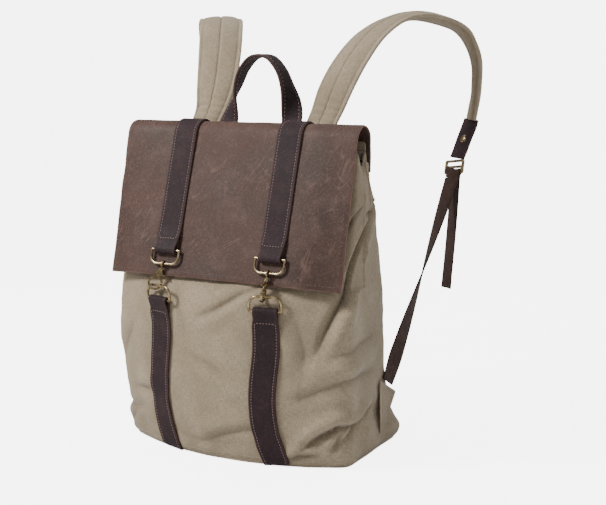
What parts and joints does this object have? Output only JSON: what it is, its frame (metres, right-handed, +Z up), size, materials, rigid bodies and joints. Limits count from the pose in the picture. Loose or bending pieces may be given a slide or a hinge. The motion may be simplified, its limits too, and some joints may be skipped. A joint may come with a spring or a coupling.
{
  "type": "travel backpack",
  "caption": "Canvas travel backpack with a leather flap closed by two clip straps, a leather grab handle, padded shoulder straps and webbing adjusters.",
  "frame": {"origin": "centre of the base, on the level the bag stands on", "axes": "+X to the right of someone facing the flap, +Y from the flap towards the wearer, +Z up"},
  "size_m": [0.4146, 0.3604, 0.5105],
  "materials": {
    "canvas": "washed cotton twill",
    "lining": "plain cotton",
    "flap_leather": "pull-up leather with pale scuffs",
    "strap_leather": "dark oiled leather with light stitching",
    "brass": "antique",
    "webbing": "woven cotton",
    "board": "stiff board",
    "foam": "closed-cell foam"
  },
  "bodies": {
    "bag": {"front_panel": "canvas", "back_panel": "canvas", "bottom_panel": "canvas", "base_board": "board", "back_foam": "foam", "lining": "lining", "front_hem": "canvas", "back_hem": "canvas", "flap_back_margin": "flap_leather", "back_yoke": "flap_leather", "gusset_left": "canvas", "gusset_right": "canvas", "lower_strap_left": "strap_leather", "lower_strap_right": "strap_leather", "corner_tab_left": "canvas", "corner_tab_right": "canvas", "side_tab_left": "canvas", "side_tab_right": "canvas", "flap_strap_root_left": "strap_leather", "flap_strap_root_right": "strap_leather", "shoulder_pad_root_left": "canvas", "shoulder_pad_root_right": "canvas", "webbing_root_left": "webbing", "webbing_root_right": "webbing"},
    "flap": {"flap_panel": "flap_leather", "flap_strap_left": "strap_leather", "flap_strap_right": "strap_leather"},
    "handle": {"handle_strap": "strap_leather"},
    "upper_ring_left": {"upper_ring_left": "brass"},
    "swivel_eye_left": {"swivel_eye_left": "brass"},
    "hook_left": {"hook_body_left": "brass", "trigger_pin_left": "brass"},
    "trigger_left": {"trigger_left": "brass"},
    "lower_ring_left": {"lower_ring_left": "brass"},
    "shoulder_left": {"shoulder_pad_left": "canvas", "strap_tab_left": "strap_leather", "strap_buckle_left": "brass", "webbing_left": "webbing", "webbing_tail_left": "webbing"},
    "upper_ring_right": {"upper_ring_right": "brass"},
    "swivel_eye_right": {"swivel_eye_right": "brass"},
    "hook_right": {"hook_body_right": "brass", "trigger_pin_right": "brass"},
    "trigger_right": {"trigger_right": "brass"},
    "lower_ring_right": {"lower_ring_right": "brass"},
    "shoulder_right": {"shoulder_pad_right": "canvas", "strap_tab_right": "strap_leather", "strap_buckle_right": "brass", "webbing_right": "webbing", "webbing_tail_right": "webbing"}
  },
  "joints": [
    {"name": "flap_lift", "type": "hinge", "parent": "bag", "child": "flap", "pos_m": [0, -0.031, 0.387], "axis": [-1, 0, 0], "range_deg": [0, 140]},
    {"name": "handle_fold", "type": "hinge", "parent": "bag", "child": "handle", "pos_m": [0, -0.0065, 0.3646], "axis": [-1, 0, 0], "range_deg": [-30, 40]},
    {"name": "upper_ring_left_lift", "type": "hinge", "parent": "flap", "child": "upper_ring_left", "pos_m": [-0.069, -0.09511, 0.23896], "axis": [-1, 0, 0], "range_deg": [0, 90]},
    {"name": "hook_left_swing", "type": "hinge", "parent": "upper_ring_left", "child": "swivel_eye_left", "pos_m": [-0.069, -0.09995, 0.22371], "axis": [-1, 0, 0], "range_deg": [0, 2]},
    {"name": "hook_left_swivel", "type": "hinge", "parent": "swivel_eye_left", "child": "hook_left", "pos_m": [-0.07641, -0.10696, 0.20199], "axis": [0.309, 0.292, 0.9051], "range_deg": [-5, 2]},
    {"name": "trigger_left_press", "type": "hinge", "parent": "hook_left", "child": "trigger_left", "pos_m": [-0.07286, -0.1036, 0.2124], "axis": [-0.497, 0.861, -0.108], "range_deg": [0, 20], "stiffness_Nm_per_rad": 0.01, "springref_deg": -20.05},
    {"name": "lower_ring_left_lift", "type": "hinge", "parent": "bag", "child": "lower_ring_left", "pos_m": [-0.07019, -0.109, 0.1833], "axis": [0.9718, -0.2359, 0], "range_deg": [0, 3]},
    {"name": "shoulder_left_swing", "type": "hinge", "parent": "bag", "child": "shoulder_left", "pos_m": [-0.07875, 0.01775, 0.391], "axis": [0.2446, -0.1463, 0.9585], "range_deg": [-15, 20]},
    {"name": "upper_ring_right_lift", "type": "hinge", "parent": "flap", "child": "upper_ring_right", "pos_m": [0.069, -0.09511, 0.23896], "axis": [-1, 0, 0], "range_deg": [0, 90]},
    {"name": "hook_right_swing", "type": "hinge", "parent": "upper_ring_right", "child": "swivel_eye_right", "pos_m": [0.069, -0.09995, 0.22371], "axis": [-1, 0, 0], "range_deg": [0, 2]},
    {"name": "hook_right_swivel", "type": "hinge", "parent": "swivel_eye_right", "child": "hook_right", "pos_m": [0.0675, -0.10845, 0.20132], "axis": [0.062, 0.3541, 0.9332], "range_deg": [-6, 6]},
    {"name": "trigger_right_press", "type": "hinge", "parent": "hook_right", "child": "trigger_right", "pos_m": [0.06822, -0.10438, 0.21205], "axis": [0.9534, 0.2551, -0.1611], "range_deg": [0, 20], "stiffness_Nm_per_rad": 0.01, "springref_deg": -20.05},
    {"name": "lower_ring_right_lift", "type": "hinge", "parent": "bag", "child": "lower_ring_right", "pos_m": [0.07019, -0.109, 0.1833], "axis": [0.9718, 0.2359, 0], "range_deg": [0, 3]},
    {"name": "shoulder_right_swing", "type": "hinge", "parent": "bag", "child": "shoulder_right", "pos_m": [0.07875, 0.01775, 0.391], "axis": [0.2446, 0.1463, -0.9585], "range_deg": [-15, 20]}
  ]
}
